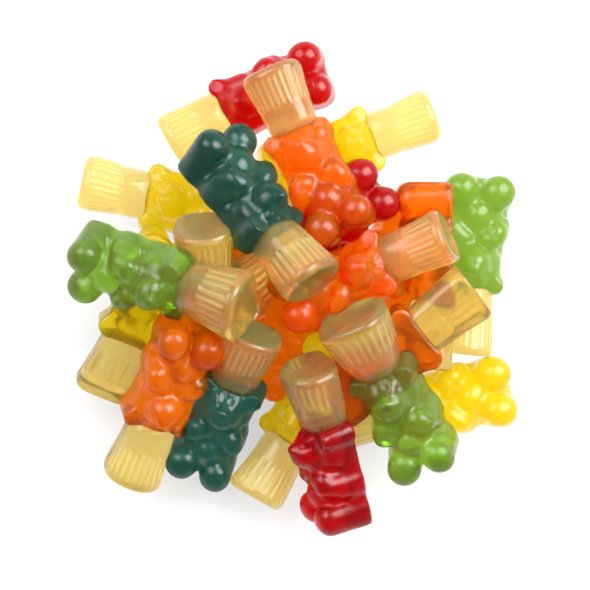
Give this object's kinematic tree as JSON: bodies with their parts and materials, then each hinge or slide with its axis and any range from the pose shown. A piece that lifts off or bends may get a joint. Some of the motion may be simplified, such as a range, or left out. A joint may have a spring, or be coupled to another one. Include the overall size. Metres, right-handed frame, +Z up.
{
  "type": "heap of gummy bears in cook's hats",
  "caption": "Loose heap of soft translucent gummy bears with tall pleated pale hats, piled flat at the rim and highest in the middle.",
  "frame": {"origin": "centre of the heap's outline, on the surface it lies on", "axes": "+Z up, +X to the right and +Y away from a viewer who stands at the front edge"},
  "size_m": [0.0766, 0.0842, 0.0307],
  "materials": {
    "orange_jelly": "satin, translucent",
    "red_jelly": "satin, translucent",
    "yellow_jelly": "satin, translucent",
    "green_jelly": "satin, translucent",
    "teal_jelly": "satin, translucent",
    "hat_jelly": "satin, nearly clear"
  },
  "bodies": {
    "root": {"gummy_bear_heap": "orange_jelly"}
  },
  "joints": []
}
